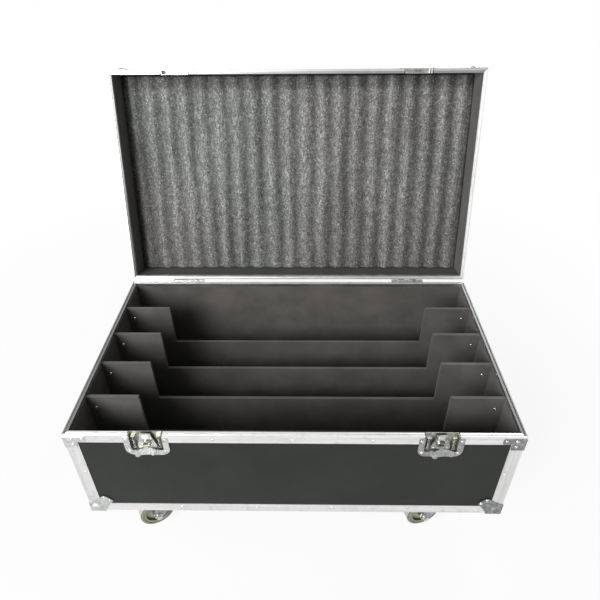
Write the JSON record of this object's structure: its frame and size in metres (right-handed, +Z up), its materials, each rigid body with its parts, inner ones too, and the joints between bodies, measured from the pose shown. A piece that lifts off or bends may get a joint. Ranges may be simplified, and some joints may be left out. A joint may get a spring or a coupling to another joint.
{
  "type": "flight case",
  "caption": "Wheeled flight case of black laminated boards in aluminium edging, with notched dividers, a foam lined lid, twist latches and sprung handles.",
  "frame": {"origin": "on the floor, under the middle of the base box", "axes": "+X along the case to the right as seen from the latches, +Y from the latches to the hinges, +Z up"},
  "size_m": [1.166, 0.9822, 1.1138],
  "materials": {
    "board": "matt black laminate on plywood",
    "edging": "satin",
    "hardware": "bright zinc plate",
    "lining": "thin black felt",
    "divider": "plywood covered in black felt",
    "foam": "black closed cell foam with bright specks",
    "grip": "matt",
    "tyre": "pale polyurethane",
    "wheel": "cream nylon",
    "fork": "bright zinc plate"
  },
  "bodies": {
    "base": {"base_bottom_panel": "board", "base_front_panel": "board", "base_back_panel": "board", "base_left_panel": "board", "base_right_panel": "board", "base_rim_profiles": "edging", "base_edge_angles": "edging", "base_ball_corners": "hardware", "base_rim_braces": "hardware", "base_lining": "lining", "divider_1": "divider", "divider_2": "divider", "divider_3": "divider", "divider_4": "divider", "divider_brackets": "hardware", "latch_dishes": "hardware", "handle_dishes": "hardware", "hinge_base_leaves": "hardware", "hinge_pins": "hardware", "caster_plates": "hardware"},
    "lid": {"lid_top_panel": "board", "lid_front_panel": "board", "lid_back_panel": "board", "lid_left_panel": "board", "lid_right_panel": "board", "lid_rim_profiles": "edging", "lid_edge_angles": "edging", "lid_ball_corners": "hardware", "lid_rim_braces": "hardware", "lid_lining": "lining", "lid_foam_pad": "foam", "lid_latch_keepers": "hardware", "hinge_lid_leaves": "hardware"},
    "rotor_left": {"latch_rotor_left": "hardware"},
    "wing_left": {"latch_wing_left": "hardware"},
    "hook_left": {"latch_hook_left": "hardware"},
    "rotor_right": {"latch_rotor_right": "hardware"},
    "wing_right": {"latch_wing_right": "hardware"},
    "hook_right": {"latch_hook_right": "hardware"},
    "handle_left": {"handle_bail_left": "hardware", "handle_grip_left": "grip"},
    "handle_right": {"handle_bail_right": "hardware", "handle_grip_right": "grip"},
    "caster_front_left": {"caster_fork_front_left": "fork", "caster_axle_front_left": "hardware"},
    "wheel_front_left": {"caster_wheel_front_left": "wheel", "caster_tyre_front_left": "tyre"},
    "caster_front_right": {"caster_fork_front_right": "fork", "caster_axle_front_right": "hardware"},
    "wheel_front_right": {"caster_wheel_front_right": "wheel", "caster_tyre_front_right": "tyre"},
    "caster_back_left": {"caster_fork_back_left": "fork", "caster_axle_back_left": "hardware"},
    "wheel_back_left": {"caster_wheel_back_left": "wheel", "caster_tyre_back_left": "tyre"},
    "caster_back_right": {"caster_fork_back_right": "fork", "caster_axle_back_right": "hardware"},
    "wheel_back_right": {"caster_wheel_back_right": "wheel", "caster_tyre_back_right": "tyre"}
  },
  "joints": [
    {"name": "lid_hinge", "type": "hinge", "parent": "base", "child": "lid", "pos_m": [0, 0.342, 0.456], "axis": [1, 0, 0], "range_deg": [0, 104]},
    {"name": "latch_turn_left", "type": "hinge", "parent": "base", "child": "rotor_left", "pos_m": [-0.3685, -0.336, 0.421], "axis": [0, 1, 0], "range_deg": [0, 180]},
    {"name": "wing_fold_left", "type": "hinge", "parent": "rotor_left", "child": "wing_left", "pos_m": [-0.3685, -0.3401, 0.421], "axis": [-0.9816, 0, -0.1908], "range_deg": [-60, 30]},
    {"name": "hook_lift_left", "type": "slide", "parent": "base", "child": "hook_left", "axis": [0, 0, 1], "range_m": [0, 0.01]},
    {"name": "latch_turn_right", "type": "hinge", "parent": "base", "child": "rotor_right", "pos_m": [0.3685, -0.336, 0.421], "axis": [0, 1, 0], "range_deg": [0, 180]},
    {"name": "wing_fold_right", "type": "hinge", "parent": "rotor_right", "child": "wing_right", "pos_m": [0.3685, -0.3401, 0.421], "axis": [-0.9816, 0, -0.1908], "range_deg": [-60, 30]},
    {"name": "hook_lift_right", "type": "slide", "parent": "base", "child": "hook_right", "axis": [0, 0, 1], "range_m": [0, 0.01]},
    {"name": "handle_lift_left", "type": "hinge", "parent": "base", "child": "handle_left", "pos_m": [-0.574, 0, 0.318], "axis": [0, 1, 0], "range_deg": [0, 90], "stiffness_Nm_per_rad": 0.05},
    {"name": "handle_lift_right", "type": "hinge", "parent": "base", "child": "handle_right", "pos_m": [0.574, 0, 0.318], "axis": [0, -1, 0], "range_deg": [0, 90], "stiffness_Nm_per_rad": 0.05},
    {"name": "swivel_front_left", "type": "hinge", "parent": "base", "child": "caster_front_left", "pos_m": [-0.398, -0.268, 0.118], "axis": [0, 0, 1], "continuous": true},
    {"name": "wheel_spin_front_left", "type": "hinge", "parent": "caster_front_left", "child": "wheel_front_left", "pos_m": [-0.41879, -0.28, 0.05], "axis": [-0.5, 0.866, 0], "continuous": true},
    {"name": "swivel_front_right", "type": "hinge", "parent": "base", "child": "caster_front_right", "pos_m": [0.398, -0.268, 0.118], "axis": [0, 0, 1], "continuous": true},
    {"name": "wheel_spin_front_right", "type": "hinge", "parent": "caster_front_right", "child": "wheel_front_right", "pos_m": [0.37505, -0.27502, 0.05], "axis": [-0.2924, 0.9563, 0], "continuous": true},
    {"name": "swivel_back_left", "type": "hinge", "parent": "base", "child": "caster_back_left", "pos_m": [-0.398, 0.268, 0.118], "axis": [0, 0, 1], "continuous": true},
    {"name": "wheel_spin_back_left", "type": "hinge", "parent": "caster_back_left", "child": "wheel_back_left", "pos_m": [-0.41992, 0.25824, 0.05], "axis": [-0.4067, 0.9135, 0], "continuous": true},
    {"name": "swivel_back_right", "type": "hinge", "parent": "base", "child": "caster_back_right", "pos_m": [0.398, 0.268, 0.118], "axis": [0, 0, 1], "continuous": true},
    {"name": "wheel_spin_back_right", "type": "hinge", "parent": "caster_back_right", "child": "wheel_back_right", "pos_m": [0.37834, 0.25423, 0.05], "axis": [-0.5736, 0.8192, 0], "continuous": true}
  ],
  "couplings": [
    {"joint": "latch_turn_left", "follows": "hook_lift_left", "rad_per_m": 314.15},
    {"joint": "latch_turn_right", "follows": "hook_lift_right", "rad_per_m": 314.15}
  ]
}
